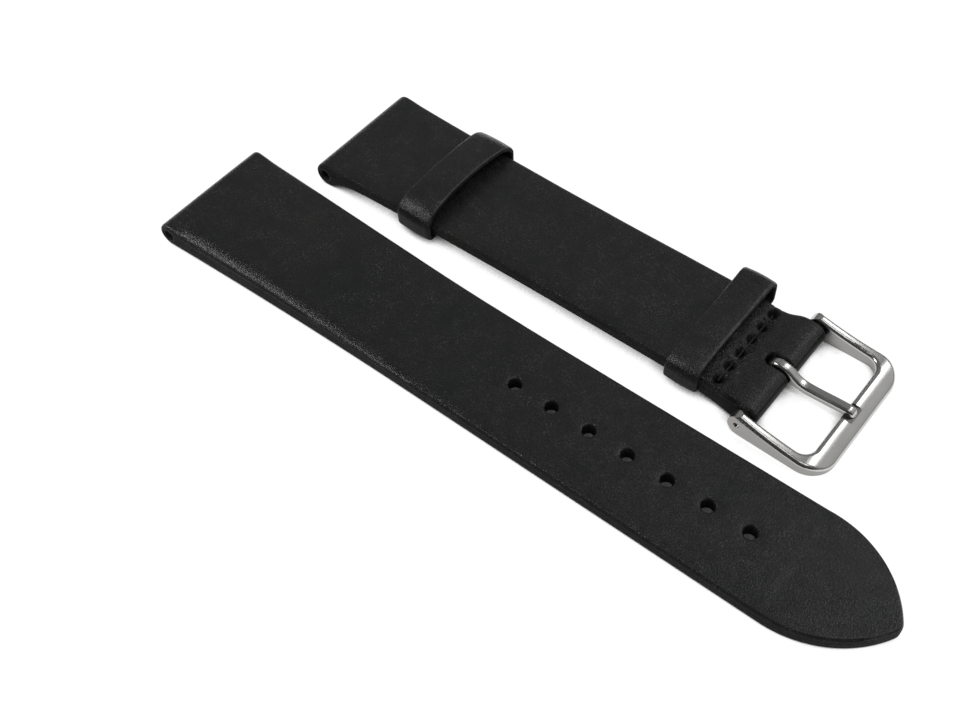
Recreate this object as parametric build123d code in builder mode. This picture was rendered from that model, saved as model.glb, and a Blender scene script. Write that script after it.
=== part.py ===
from build123d import *
from math import sqrt
import os

# A leather watch strap in its two halves, lying side by side on a flat surface.
# Sizes are in millimetres. X runs along the halves from their lug ends, Y runs across them
# and Z points up from the surface. The origin is on the surface, under the middle of the set.
os.makedirs("parts", exist_ok=True)

# Leather and layers, shared by both halves
lug_width = 20.0  # across each half at the watch case
taper_depth = 1.2  # how much narrower on each side once the taper has ended
taper_length = 50.0  # from the lug end to the end of the taper
cover_thickness = 0.7
lining_thickness = 0.75
tape_thickness = 0.18  # woven tape round the tunnels
glue_line = 0.02  # between layers that are glued to each other
edge_round = 0.6  # rounding of the cover's edges
lining_round = 0.45  # rounding of the lining's lower edges
filler_inset = 1.6  # from the edges in to the padding
lug_bore = 1.9  # tunnel for the spring bar of the watch case
overrun = 1.0  # how far a cut runs past what it cuts

# Tail half, with the holes
tail_length = 116.5
tail_thickness = 2.2
swell_start = 8.0  # the padding is full up to here
swell_end = 62.0  # and thins out by here
tail_flap = 11.0  # the cover turns back this far under the lug end
tip_length = 13.8
tip_round = 1.6
hole_count = 7
hole_diameter = 1.9
hole_pitch = 6.1
last_hole_to_tip = 20.5

# Buckle half
bar_distance = 76.1  # from the lug end to the axis of the buckle's bar
short_thickness = 2.0
lug_neck = 5.2  # where the lug loop has closed up to the strap
lug_flap = 9.5  # where its skived flap runs out
buckle_neck = 3.8  # from the bar's axis back to where the buckle loop has closed
flap_clearance = 0.1  # from the fixed keeper to the end of the turned-back flap
waist_depth = 0.35  # drawn in on each side at the waist
waist_place = 4.9  # from the bar's axis back to the waist
tab_spread = 0.4  # wider on each side round the buckle's bar
slot_width = 2.1  # for the tongue
slot_clearance = 0.5  # from the tongue's eye, swung back, to the slot's end
short_filler_end = 60.0

# Stitch row across the buckle half
stitch_count = 5
stitch_pitch = 2.75
stitch_place = 5.4  # from the bar's axis back to the row
thread_diameter = 0.4
drawn_diameter = 0.34  # of the thread where it is drawn tight inside the leather
needle_hole = 0.56
groove_depth = 0.25
thread_gap = 0.05  # between the two threads inside the leather

# Keeper loops
keeper_band = 0.45
keeper_lining = 0.3
free_keeper_place = 16.9  # from the lug end to its rear edge
free_keeper_length = 6.1
free_keeper_room = 0.28  # beside the strap, at its rear edge
free_keeper_gap = 1.9  # over the strap
free_keeper_drop = 0.35  # under the strap
free_keeper_corner = 1.2
free_keeper_low_corner = 0.4
fixed_keeper_place = 12.3  # from the bar's axis back to its rear edge
fixed_keeper_length = 5.1
fixed_keeper_room = 0.3
fixed_keeper_gap = 1.0
fixed_keeper_drop = 0.05
fixed_keeper_corner = 0.9
fixed_keeper_low_corner = 0.2

# Buckle frame
frame_room = 0.3  # from the leather tab to each arm
arm_width = 1.3  # at the arm's end
arm_flare = 0.4  # how much wider each arm is at its corner
arm_end_reach = 1.35  # from the bar's axis back to the arm's end
arm_dip = 0.25  # how far the arm's top sags below a straight line
crossbar_inner = 9.95  # from the bar's axis to the crossbar's inner edge
crossbar_width = 2.9
crossbar_top = 1.9
crossbar_lip = 0.75  # height of the crossbar's outer edge
outer_corner = 3.7
inner_corner = 1.9
frame_foot = 0.1  # gap under the frame
frame_round = 0.55  # rounding along the top of the frame
notch_width = 3.0
notch_length = 1.8  # from the crossbar's inner edge
notch_corner = 0.6
notch_depth = 0.4

# Spring bar of the buckle
bar_diameter = 1.7
bar_bore = 1.0
bar_end_gap = 0.1  # from the tube's end to the arm
bar_lip = 0.3  # length of the tube's crimped ends
pin_diameter = 0.76
pin_head_diameter = 0.92
pin_head_length = 2.2
pin_short_of_face = 0.2  # the pin ends this far inside the arm's outer face
running_clearance = 0.05  # radial, wherever one round part turns or slides in another
spring_wall = 0.18
spring_end_gap = 0.03

# Tongue
tongue_width = 1.55
tongue_thickness = 1.05
eye_radius = 1.8
eye_shift = -0.1  # from the bar's axis forward to the middle of the eye
eye_rise = 0.34  # and up
tongue_bend = 4.4  # from the bar's axis to the lowest place of the tongue's top
bend_rise = 0.5  # of that place, above the bar's axis
tip_reach = 1.45  # how far the tongue reaches over the crossbar
tongue_seat = 0.06  # gap between the tongue and its notch
tongue_round = 0.5

# Places of the two halves
row_pitch = 23.3  # between the centre lines of the halves
row_shift = 10.0  # the buckle half's lug end lies this much further along X

narrow_width = lug_width - 2 * taper_depth
waist_width = narrow_width - 2 * waist_depth
tab_width = narrow_width + 2 * tab_spread
loop_radius = lug_bore / 2 + tape_thickness + glue_line + cover_thickness
arm_end_radius = loop_radius - frame_foot
strap_top = 2 * loop_radius
short_under = strap_top - short_thickness
flap_under = short_under - cover_thickness
buckle_flap = fixed_keeper_place - fixed_keeper_length - flap_clearance
bar_bore_radius = bar_diameter / 2 + 2 * running_clearance
frame_inner_half = tab_width / 2 + frame_room
frame_outer_half = frame_inner_half + arm_width
taper_radius = (taper_length**2 + taper_depth**2) / (2 * taper_depth)
to_taper_end = taper_length - free_keeper_place
taper_at_keeper = taper_radius - sqrt(taper_radius**2 - to_taper_end**2)
free_keeper_half = narrow_width / 2 + taper_at_keeper + free_keeper_room
fixed_keeper_half = narrow_width / 2 + fixed_keeper_room
keeper_outer_half = free_keeper_half + keeper_band + keeper_lining
widest_half = max(keeper_outer_half, frame_outer_half + arm_flare, lug_width / 2)
tail_y = -(row_pitch + widest_half - lug_width / 2) / 2
short_y = tail_y + row_pitch
tail_x = -tail_length / 2
short_x = tail_x + row_shift
bar_x = short_x + bar_distance

tail_plan = Plane(origin=(tail_x, tail_y, 0))
tail_side = Plane(origin=(tail_x, tail_y, 0), x_dir=(1, 0, 0), z_dir=(0, -1, 0))
short_plan = Plane(origin=(short_x, short_y, 0))
short_side = Plane(origin=(short_x, short_y, 0), x_dir=(1, 0, 0), z_dir=(0, -1, 0))
bar_plan = Plane(origin=(bar_x, short_y, 0))
bar_side = Plane(origin=(bar_x, short_y, loop_radius), x_dir=(1, 0, 0), z_dir=(0, -1, 0))


# Curves and outlines that several pieces use

def level_curve(start, end):
    """Two arcs that meet halfway, level at both ends, in the line being built."""
    middle = ((start[0] + end[0]) / 2, (start[1] + end[1]) / 2)
    way = 1 if end[0] > start[0] else -1
    TangentArc(start, middle, tangent=(way, 0))
    TangentArc(end, middle, tangent=(-way, 0))


def tail_outline(inset):
    """The tail half seen from above, drawn in by inset all round but the lug end."""
    half = narrow_width / 2 - inset
    end = tail_length - inset
    side_end = tail_length - tip_length
    reach = end - tip_round - side_end
    flank_radius = (reach**2 + half**2 - tip_round**2) / (2 * (half - tip_round))
    along = reach / (flank_radius - tip_round)
    across = (flank_radius - half) / (flank_radius - tip_round)
    tip_start = (end - tip_round + tip_round * along, tip_round * across)
    with BuildSketch(tail_plan) as outline:
        with BuildLine():
            Line((0, 0), (0, lug_width / 2 - inset))
            TangentArc((taper_length, half), (0, lug_width / 2 - inset), tangent=(-1, 0))
            Line((taper_length, half), (side_end, half))
            TangentArc((side_end, half), tip_start, tangent=(1, 0))
            RadiusArc(tip_start, (end, 0), tip_round)
            mirror(about=Plane.XZ)
        make_face()
    return outline.sketch


def short_outline(inset):
    """The buckle half seen from above, with its waist and the wider tab on the bar."""
    half = narrow_width / 2 - inset
    waist = bar_distance - waist_place
    waist_start = waist - (bar_distance - stitch_place - taper_length) / 4
    flare_end = bar_distance - loop_radius / 2
    end = bar_distance + loop_radius + overrun
    with BuildSketch(short_plan) as outline:
        with BuildLine():
            Line((0, 0), (0, lug_width / 2 - inset))
            TangentArc((taper_length, half), (0, lug_width / 2 - inset), tangent=(-1, 0))
            Line((taper_length, half), (waist_start, half))
            level_curve((waist_start, half), (waist, waist_width / 2 - inset))
            level_curve((waist, waist_width / 2 - inset), (flare_end, tab_width / 2 - inset))
            Line((flare_end, tab_width / 2 - inset), (end, tab_width / 2 - inset))
            Line((end, tab_width / 2 - inset), (end, 0))
            mirror(about=Plane.XZ)
        make_face()
    return outline.sketch


def tail_padding(spare):
    """The tail's padding; spare makes it larger all round, for the pocket that holds it."""
    bottom = lining_thickness + glue_line - spare
    drop = cover_thickness + glue_line - spare
    start = 2 * loop_radius - spare
    end = tail_length + overrun
    with BuildPart() as padding:
        with BuildSketch(tail_side):
            with BuildLine():
                Line((start, bottom), (start, strap_top - drop))
                Line((start, strap_top - drop), (swell_start, strap_top - drop))
                level_curve((swell_start, strap_top - drop), (swell_end, tail_thickness - drop))
                Polyline((swell_end, tail_thickness - drop), (end, tail_thickness - drop),
                         (end, bottom), (start, bottom))
            make_face()
        extrude(amount=lug_width, both=True)
        extrude(tail_outline(filler_inset - spare), amount=strap_top, mode=Mode.INTERSECT)
    return padding.part


def short_padding(spare):
    """The buckle half's thin padding, or its pocket."""
    bottom = short_under + lining_thickness + glue_line - spare
    top = strap_top - cover_thickness - glue_line + spare
    start = lug_neck + filler_inset - spare
    with BuildPart() as padding:
        with BuildSketch(short_side):
            with Locations(((start + short_filler_end + spare) / 2, (bottom + top) / 2)):
                Rectangle(short_filler_end + spare - start, top - bottom)
        extrude(amount=lug_width, both=True)
        extrude(short_outline(filler_inset - spare), amount=strap_top, mode=Mode.INTERSECT)
    return padding.part


def punch_tail_holes():
    """The row of holes for the tongue, through whatever is being built."""
    first = tail_length - last_hole_to_tip - (hole_count - 1) * hole_pitch
    with BuildSketch(tail_plan) as holes:
        with Locations(*[(first + i * hole_pitch, 0) for i in range(hole_count)]):
            Circle(hole_diameter / 2)
    extrude(holes.sketch, amount=strap_top, mode=Mode.SUBTRACT)


def stitch_points():
    """Where the needle went through, from the near edge to the far one."""
    row_x = bar_distance - stitch_place
    half_row = stitch_count * stitch_pitch / 2
    return [(row_x, i * stitch_pitch - half_row) for i in range(stitch_count + 1)]


def punch_needle_holes():
    """The row of needle holes, through whatever is being built."""
    with BuildSketch(short_plan) as holes:
        with Locations(*stitch_points()):
            Circle(needle_hole / 2)
    extrude(holes.sketch, amount=strap_top, mode=Mode.SUBTRACT)


def cut_tongue_slot():
    """The slot in the folded tab, with a round inner end."""
    inner_end = -(eye_radius + slot_clearance)
    length = loop_radius + overrun - inner_end
    with BuildSketch(bar_plan) as slot:
        with Locations((inner_end + slot_width / 2, 0)):
            Circle(slot_width / 2)
        with Locations((inner_end + (length + slot_width / 2) / 2, 0)):
            Rectangle(length - slot_width / 2, slot_width)
    extrude(slot.sketch, amount=strap_top, mode=Mode.SUBTRACT)


def round_cover(cover):
    """Round a cover from its highest edges along; the rounding runs on round its loops."""
    long_edges = cover.edges().filter_by(Axis.Y, reverse=True)
    fillet(long_edges.group_by(Axis.Z)[-1], edge_round)


def round_lining(lining):
    """Round the lower edges of a lining, apart from its straight ends."""
    long_edges = lining.edges().filter_by(Axis.Y, reverse=True)
    fillet(long_edges.group_by(Axis.Z)[0], lining_round)


def tunnel_tape(side_plane, outline):
    """The woven tape round a half's tunnel for the watch's bar."""
    with BuildPart() as tape:
        with BuildSketch(side_plane):
            with Locations((loop_radius, loop_radius)):
                Circle(lug_bore / 2 + tape_thickness)
                Circle(lug_bore / 2, mode=Mode.SUBTRACT)
        extrude(amount=lug_width, both=True)
        extrude(outline, amount=strap_top, mode=Mode.INTERSECT)
    return tape


# Tail half
tail_pocket = tail_padding(glue_line)
with BuildPart() as tail_cover:
    with BuildSketch(tail_side):
        with BuildLine():
            ThreePointArc((loop_radius, 0), (0, loop_radius), (loop_radius, strap_top))
            Line((loop_radius, strap_top), (swell_start, strap_top))
            level_curve((swell_start, strap_top), (swell_end, tail_thickness))
            Polyline((swell_end, tail_thickness), (tail_length + overrun, tail_thickness),
                     (tail_length + overrun, 0), (loop_radius, 0))
        make_face()
    extrude(amount=lug_width, both=True)
    extrude(tail_outline(0), amount=strap_top, mode=Mode.INTERSECT)
    round_cover(tail_cover)
    with BuildSketch(tail_side):
        with Locations((loop_radius, loop_radius)):
            Circle(loop_radius - cover_thickness)
        with Locations(((tail_flap + tail_length + overrun) / 2, 0)):
            Rectangle(tail_length + overrun - tail_flap, 2 * (lining_thickness + glue_line))
    extrude(amount=lug_width, both=True, mode=Mode.SUBTRACT)
    add(tail_pocket, mode=Mode.SUBTRACT)
    punch_tail_holes()

with BuildPart() as tail_filler:
    add(tail_padding(0))
    punch_tail_holes()

with BuildPart() as tail_lining:
    extrude(tail_outline(0), amount=lining_thickness)
    with BuildSketch(tail_side):
        with Locations(((tail_flap + glue_line) / 2, 0)):
            Rectangle(tail_flap + glue_line, 2 * strap_top)
    extrude(amount=lug_width, both=True, mode=Mode.SUBTRACT)
    round_lining(tail_lining)
    punch_tail_holes()

tail_tunnel_tape = tunnel_tape(tail_side, tail_outline(0))


# Buckle half
short_pocket = short_padding(glue_line)
with BuildPart() as short_cover:
    with BuildSketch(short_side):
        loop_end = bar_distance + loop_radius
        with BuildLine():
            ThreePointArc((loop_radius, 0), (0, loop_radius), (loop_radius, strap_top))
            Line((loop_radius, strap_top), (bar_distance, strap_top))
            ThreePointArc((bar_distance, strap_top), (loop_end, loop_radius), (bar_distance, 0))
            level_curve((bar_distance, 0), (bar_distance - buckle_neck, flap_under))
            Polyline(
                (bar_distance - buckle_neck, flap_under),
                (bar_distance - buckle_flap, flap_under),
                (bar_distance - buckle_flap, short_under),
                (lug_flap, short_under),
                (lug_neck, flap_under),
            )
            level_curve((lug_neck, flap_under), (loop_radius, 0))
        make_face()
    extrude(amount=lug_width, both=True)
    extrude(short_outline(0), amount=strap_top, mode=Mode.INTERSECT)
    round_cover(short_cover)
    with BuildSketch(short_side):
        with Locations((loop_radius, loop_radius)):
            Circle(loop_radius - cover_thickness)
        with Locations((bar_distance, loop_radius)):
            Circle(bar_bore_radius + tape_thickness + glue_line)
        lining_end = bar_distance - buckle_neck
        with Locations(((lug_neck + lining_end) / 2, short_under + lining_thickness / 2)):
            Rectangle(lining_end - lug_neck, lining_thickness + 2 * glue_line)
    extrude(amount=lug_width, both=True, mode=Mode.SUBTRACT)
    add(short_pocket, mode=Mode.SUBTRACT)
    cut_tongue_slot()
    punch_needle_holes()
    with BuildSketch(short_plan.offset(strap_top - groove_depth)):
        with Locations((bar_distance - stitch_place, 0)):
            SlotCenterToCenter(stitch_count * stitch_pitch, needle_hole, rotation=90)
    extrude(amount=groove_depth + overrun, mode=Mode.SUBTRACT)

with BuildPart() as short_filler:
    add(short_padding(0))

with BuildPart() as short_lining:
    with BuildSketch(short_side):
        lining_start = lug_neck + glue_line
        lining_end = bar_distance - buckle_neck - glue_line
        with Locations(((lining_start + lining_end) / 2, short_under + lining_thickness / 2)):
            Rectangle(lining_end - lining_start, lining_thickness)
    extrude(amount=lug_width, both=True)
    extrude(short_outline(0), amount=strap_top, mode=Mode.INTERSECT)
    round_lining(short_lining)
    cut_tongue_slot()
    punch_needle_holes()

short_tunnel_tape = tunnel_tape(short_side, short_outline(0))

with BuildPart() as bar_loop_tape:
    with BuildSketch(bar_side):
        Circle(bar_bore_radius + tape_thickness)
        Circle(bar_bore_radius, mode=Mode.SUBTRACT)
    extrude(amount=tab_width / 2, both=True)
    cut_tongue_slot()


# Stitch row: one thread along the top and one along the underside, locked inside the leather
lock_height = (strap_top + flap_under) / 2


def thread_row(row_height, lock_end):
    """One thread: its run across the strap, and its legs into the needle holes."""
    row_x = short_x + bar_distance - stitch_place
    row_plane = Plane(origin=(row_x, short_y, row_height), x_dir=(1, 0, 0), z_dir=(0, -1, 0))
    with BuildPart() as thread:
        with BuildSketch(row_plane):
            Circle(thread_diameter / 2)
        extrude(amount=stitch_count * stitch_pitch / 2 + thread_diameter / 2, both=True)
        with BuildSketch(short_plan.offset(row_height)):
            with Locations(*stitch_points()):
                Circle(drawn_diameter / 2)
        extrude(amount=lock_end - row_height)
    return thread


needle_thread = thread_row(strap_top - groove_depth + thread_diameter / 2, lock_height + thread_gap)
bobbin_thread = thread_row(flap_under - thread_diameter / 2 - glue_line, lock_height - thread_gap)


# Keeper loops

def keeper_ring(place, length, half, bottom, top, corners, wall):
    """A closed band round the strap: corners are the opening's radii, low then high."""
    plane = Plane(origin=(place, short_y, (bottom + top) / 2), x_dir=(0, 1, 0), z_dir=(1, 0, 0))
    with BuildSketch(plane) as opening:
        Rectangle(2 * half, top - bottom)
        fillet(opening.vertices().group_by(Axis.Y)[0], corners[0])
        fillet(opening.vertices().group_by(Axis.Y)[-1], corners[1])
    with BuildSketch(plane) as outside:
        Rectangle(2 * (half + wall), top - bottom + 2 * wall)
        fillet(outside.vertices().group_by(Axis.Y)[0], corners[0] + wall)
        fillet(outside.vertices().group_by(Axis.Y)[-1], corners[1] + wall)
    with BuildPart() as ring:
        extrude(outside.sketch, amount=length)
        extrude(opening.sketch, amount=length, mode=Mode.SUBTRACT)
    return ring


def keeper_pieces(place, length, half, bottom, top, corners):
    """A keeper's lining and the band that is glued round it."""
    band_corners = [corner + keeper_lining for corner in corners]
    lining_wall = keeper_lining - glue_line
    lining = keeper_ring(place, length, half, bottom, top, corners, lining_wall)
    band = keeper_ring(place, length, half + keeper_lining, bottom - keeper_lining,
                       top + keeper_lining, band_corners, keeper_band)
    return lining, band


free_keeper_lining, free_keeper_band = keeper_pieces(
    short_x + free_keeper_place, free_keeper_length, free_keeper_half,
    short_under - free_keeper_drop, strap_top + free_keeper_gap,
    (free_keeper_low_corner, free_keeper_corner))
fixed_keeper_lining, fixed_keeper_band = keeper_pieces(
    bar_x - fixed_keeper_place, fixed_keeper_length, fixed_keeper_half,
    short_under - fixed_keeper_drop, strap_top + fixed_keeper_gap,
    (fixed_keeper_low_corner, fixed_keeper_corner))


# Buckle frame
crossbar_outer = crossbar_inner + crossbar_width
frame_start = arm_end_reach + overrun


def frame_outline(start_half, corner_half, end, corner):
    """A plan outline with its half widths at the arms' ends and at the crossbar."""
    with BuildSketch(bar_plan) as outline:
        Polygon((-frame_start, -start_half), (end, -corner_half), (end, corner_half),
                (-frame_start, start_half), align=None)
        fillet(outline.vertices().group_by(Axis.X)[-1], corner)
    return outline.sketch


with BuildPart() as buckle_frame:
    extrude(frame_outline(frame_outer_half, frame_outer_half + arm_flare,
                          crossbar_outer, outer_corner), amount=strap_top)
    extrude(frame_outline(frame_inner_half, frame_inner_half, crossbar_inner, inner_corner),
            amount=strap_top, mode=Mode.SUBTRACT)
    with BuildSketch(bar_side):
        end_middle = arm_end_radius - arm_end_reach
        lip_height = crossbar_lip - loop_radius
        with BuildLine():
            ThreePointArc((end_middle, -arm_end_radius), (-arm_end_reach, 0),
                          (end_middle, arm_end_radius))
            arm_top = SagittaArc((end_middle, arm_end_radius),
                                 (crossbar_inner, crossbar_top - loop_radius), -arm_dip)
            TangentArc(arm_top @ 1, (crossbar_outer, lip_height), tangent=arm_top % 1)
            Polyline((crossbar_outer, lip_height), (crossbar_outer, -arm_end_radius),
                     (end_middle, -arm_end_radius))
        make_face()
    extrude(amount=lug_width, both=True, mode=Mode.INTERSECT)
    curved_edges = buckle_frame.edges().filter_by(GeomType.LINE, reverse=True)
    fillet(curved_edges.filter_by_position(Axis.Z, crossbar_top, strap_top), frame_round)
    with BuildSketch(bar_side):
        Circle(pin_diameter / 2 + running_clearance)
    extrude(amount=lug_width, both=True, mode=Mode.SUBTRACT)
    with BuildSketch(bar_plan.offset(crossbar_top - notch_depth)):
        with Locations((crossbar_inner, 0)):
            RectangleRounded(2 * notch_length, notch_width, notch_corner)
    extrude(amount=notch_depth + overrun, mode=Mode.SUBTRACT)


# Spring bar
tube_half = frame_inner_half - bar_end_gap
with BuildPart() as bar_tube:
    with BuildSketch(bar_side):
        Circle(bar_diameter / 2)
        Circle(pin_diameter / 2 + running_clearance, mode=Mode.SUBTRACT)
    extrude(amount=tube_half, both=True)
    with BuildSketch(bar_side):
        Circle(bar_bore / 2)
    extrude(amount=tube_half - bar_lip, both=True, mode=Mode.SUBTRACT)

head_end = tube_half - bar_lip
pin_end = frame_outer_half - pin_short_of_face


def bar_pin(side):
    """A sprung pin: its head slides in the tube, its tip sits in the arm. side is 1 or -1."""
    head_plane = Plane(origin=(bar_x, short_y + side * head_end, loop_radius),
                       x_dir=(1, 0, 0), z_dir=(0, -side, 0))
    with BuildPart() as pin:
        with BuildSketch(head_plane):
            Circle(pin_head_diameter / 2)
        extrude(amount=pin_head_length)
        with BuildSketch(head_plane):
            Circle(pin_diameter / 2)
        extrude(amount=-(pin_end - head_end))
    return pin


far_bar_pin = bar_pin(1)
near_bar_pin = bar_pin(-1)

with BuildPart() as bar_spring:
    with BuildSketch(bar_side):
        Circle(pin_head_diameter / 2)
        Circle(pin_head_diameter / 2 - spring_wall, mode=Mode.SUBTRACT)
    extrude(amount=head_end - pin_head_length - spring_end_gap, both=True)


# Tongue
seat_height = crossbar_top - loop_radius - notch_depth + tongue_seat
tip_x = crossbar_inner + tip_reach
eye_top = (eye_shift, eye_rise + eye_radius)
tongue_dip = (tongue_bend, bend_rise)
tip_start = (tip_x - tongue_thickness, seat_height + tongue_thickness)
with BuildPart() as buckle_tongue:
    with BuildSketch(bar_side):
        with Locations((eye_shift, eye_rise)):
            Circle(eye_radius)
        with BuildLine():
            level_curve(eye_top, tongue_dip)
            level_curve(tongue_dip, tip_start)
            TangentArc(tip_start, (tip_x, seat_height), tangent=(1, 0))
            Polyline((tip_x, seat_height), (crossbar_inner - tongue_thickness / 2, seat_height),
                     (tongue_bend, bend_rise - tongue_thickness), (eye_shift, 0), eye_top)
        make_face()
    extrude(amount=tongue_width / 2, both=True)
    curved_edges = buckle_tongue.edges().filter_by(GeomType.LINE, reverse=True)
    fillet(curved_edges, tongue_round)
    with BuildSketch(bar_side):
        Circle(bar_diameter / 2 + running_clearance)
    extrude(amount=tongue_width, both=True, mode=Mode.SUBTRACT)


pieces = {
    "tail_cover": tail_cover,
    "tail_filler": tail_filler,
    "tail_lining": tail_lining,
    "tail_tunnel_tape": tail_tunnel_tape,
    "short_cover": short_cover,
    "short_filler": short_filler,
    "short_lining": short_lining,
    "short_tunnel_tape": short_tunnel_tape,
    "bar_loop_tape": bar_loop_tape,
    "needle_thread": needle_thread,
    "bobbin_thread": bobbin_thread,
    "fixed_keeper_band": fixed_keeper_band,
    "fixed_keeper_lining": fixed_keeper_lining,
    "free_keeper_band": free_keeper_band,
    "free_keeper_lining": free_keeper_lining,
    "buckle_frame": buckle_frame,
    "buckle_tongue": buckle_tongue,
    "bar_tube": bar_tube,
    "near_bar_pin": near_bar_pin,
    "far_bar_pin": far_bar_pin,
    "bar_spring": bar_spring,
}
for name, piece in pieces.items():
    piece.part.label = name
    export_step(piece.part, f"parts/{name}.step")
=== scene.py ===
import bpy
import bmesh
import math
from mathutils import Euler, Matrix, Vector, noise


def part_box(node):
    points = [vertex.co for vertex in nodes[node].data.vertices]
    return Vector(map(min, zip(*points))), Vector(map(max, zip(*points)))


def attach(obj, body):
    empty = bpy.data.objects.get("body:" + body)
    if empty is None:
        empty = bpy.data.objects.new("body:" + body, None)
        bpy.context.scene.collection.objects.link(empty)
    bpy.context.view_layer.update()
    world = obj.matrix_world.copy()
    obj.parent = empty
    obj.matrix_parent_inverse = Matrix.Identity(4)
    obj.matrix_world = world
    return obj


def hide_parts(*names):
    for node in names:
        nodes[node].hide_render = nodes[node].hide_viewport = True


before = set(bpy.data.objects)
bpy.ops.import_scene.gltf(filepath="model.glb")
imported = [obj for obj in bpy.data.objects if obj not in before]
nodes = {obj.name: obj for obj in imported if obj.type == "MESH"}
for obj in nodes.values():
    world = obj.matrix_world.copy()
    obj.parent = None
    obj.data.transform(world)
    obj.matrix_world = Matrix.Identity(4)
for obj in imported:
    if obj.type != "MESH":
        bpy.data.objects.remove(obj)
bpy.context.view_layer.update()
mm = 0.001
farAway = 1000.0  # mm, past everything here

# places of the two halves, in mm, taken from the CAD
tailLow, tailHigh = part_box("tail_cover")
shortLow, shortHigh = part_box("short_cover")
tailX, tailY = tailLow.x / mm, (tailLow.y + tailHigh.y) / 2 / mm
shortX, shortY = shortLow.x / mm, (shortLow.y + shortHigh.y) / 2 / mm


# shared mesh work

def sCurve(t):
    # level at both ends, like two arcs that meet halfway
    t = min(max(t, 0.0), 1.0)
    return 2 * t * t if t < 0.5 else 1 - 2 * (1 - t) ** 2


def edgeDrop(d, r):
    # how far a rounded edge lies under the flat surface, d in from the edge
    if d >= r:
        return 0.0
    return r - math.sqrt(max(r * r - (r - d) ** 2, 0.0))


def bell(d, width):
    return math.exp(-(d / width) ** 2)


def uneven(x, y, amount, size, seed=0.0):
    return amount * noise.noise(Vector((x / size, y / size, seed)))


strapGrid = {
    "roundSteps": 6, "leastRound": 0.3, "pastRound": 1.3, "wearHighlightWidth": 1.6, "steep": 0.6, "sloped": 0.93,
    "fineMiddle": [k / 22 * 0.76 for k in range(1, 23)] + [0.76 + 0.24 * k / 11 for k in range(1, 12)],
    "shortMiddle": [k / 26 * 0.8 for k in range(1, 27)] + [0.8 + 0.2 * k / 9 for k in range(1, 10)],
    "coarseMiddle": [k / 12 for k in range(1, 13)],
}


def ribPoints(rib, roundness, middle):
    # one rib across the strap: near edge, middle, far edge, as (x, y, distance in from the edge)
    px, py, nx, ny, mx = rib[:5]
    nearShare = rib[5] if len(rib) > 5 else 1.0
    steps = strapGrid["roundSteps"]
    ins = [roundness * (1 - math.cos(k * math.pi / (2 * steps))) for k in range(steps + 1)]
    ins.append(max(roundness, strapGrid["leastRound"]) * strapGrid["pastRound"])
    side = [(px + nx * d, py + ny * d, d) for d in ins]
    lastX, lastY, lastD = side[-1]
    for t in middle:
        side.append((lastX + (mx - lastX) * t, lastY * (1 - t), lastD + lastY * t))
    near = [(x, -y * nearShare, d) for x, y, d in side]
    return near + side[-2::-1]


def strapMesh(shape, ribs, middle):
    # top and underside as rows of the same ribs, joined by walls along both sides
    verts, faces, wallFaces, wearAndHighlight, creased = [], [], [], [], []
    top, under, walls = [], [], []

    def put(x, y, z, value):
        verts.append(((x + shape["x"]) * mm, (y + shape["y"]) * mm, z * mm))
        wearAndHighlight.append(value)
        creased.append(shape["creased"](x, y))
        return len(verts) - 1

    wallRows = shape["wallRows"]
    for rib in ribs:
        roundTop, roundUnder = shape["roundTop"](rib[0]), shape["roundUnder"](rib[0])
        points = ribPoints(rib, roundTop, middle)
        topRow, underRow = [], []
        for x, y, d in points:
            drop = edgeDrop(d, roundTop) + shape["sink"](x, y, d) * shape["fade"](x)
            px, pz = shape["onProfile"](x, shape["top"](x), drop, 1)
            # near the edge: wear and a painted highlight along the rim
            edge = max(0.0, 1 - d / strapGrid["wearHighlightWidth"])
            topRow.append(put(px, y, pz, edge))
            rise = edgeDrop(d, roundUnder)
            px, pz = shape["onProfile"](x, shape["under"](x), rise, -1)
            underRow.append(put(px, y, pz, edge))
        sides = []
        for c in (0, -1):
            a, b = Vector(verts[topRow[c]]), Vector(verts[underRow[c]])
            column = [topRow[c]]
            for k in range(1, wallRows):
                t = k / wallRows
                p = a.lerp(b, t) / mm
                out = shape["wallBulge"] * math.sin(math.pi * t)
                column.append(put(p.x - shape["x"] - rib[2] * out,
                                  p.y - shape["y"] - rib[3] * out * (1 if c else -1), p.z, 1.0))
            column.append(underRow[c])
            sides.append(column)
        top.append(topRow)
        under.append(underRow)
        walls.append(sides)

    for r in range(len(ribs) - 1):
        for c in range(len(top[0]) - 1):
            faces.append((top[r][c], top[r + 1][c], top[r + 1][c + 1], top[r][c + 1]))
            faces.append((under[r][c], under[r][c + 1], under[r + 1][c + 1], under[r + 1][c]))
        for s in (0, 1):
            for k in range(wallRows):
                a, b = walls[r][s], walls[r + 1][s]
                wallFaces.append((a[k], a[k + 1], b[k + 1], b[k]))
    for r in shape["flatEnds"]:
        for c in range(len(top[0]) - 1):
            wallFaces.append((top[r][c], top[r][c + 1], under[r][c + 1], under[r][c]))

    mesh = bpy.data.meshes.new(shape["name"])
    mesh.from_pydata(verts, [], faces + wallFaces)
    addMarks(mesh, wearAndHighlight, creased)
    mesh.polygons.foreach_set("material_index", [0] * len(faces) + [2] * len(wallFaces))
    tidyMesh(mesh)
    dullSteepFaces(mesh, 3, shape["polished"])
    return mesh


def addMarks(mesh, wearAndHighlight, creased):
    # for the materials: nearness to the edge, for wear and a painted highlight, and the crease mark, for
    # bump, painted glints and, below zero, painted shade
    for label, values in (("wearAndHighlight", wearAndHighlight), ("creased", creased)):
        mark = mesh.attributes.new(label, "FLOAT", "POINT")
        mark.data.foreach_set("value", values)


def dullSteepFaces(mesh, slot, polished):
    # sides and undersides are less polished than the tops; polished is how far along x, in mm,
    # the rounded edge shines as well
    for face in mesh.polygons:
        alongSide = abs(face.normal.y) > abs(face.normal.x) and face.center.x > polished * mm
        limit = strapGrid["sloped" if alongSide else "steep"]
        if face.material_index == 0 and face.normal.z < limit:
            face.material_index = slot


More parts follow.
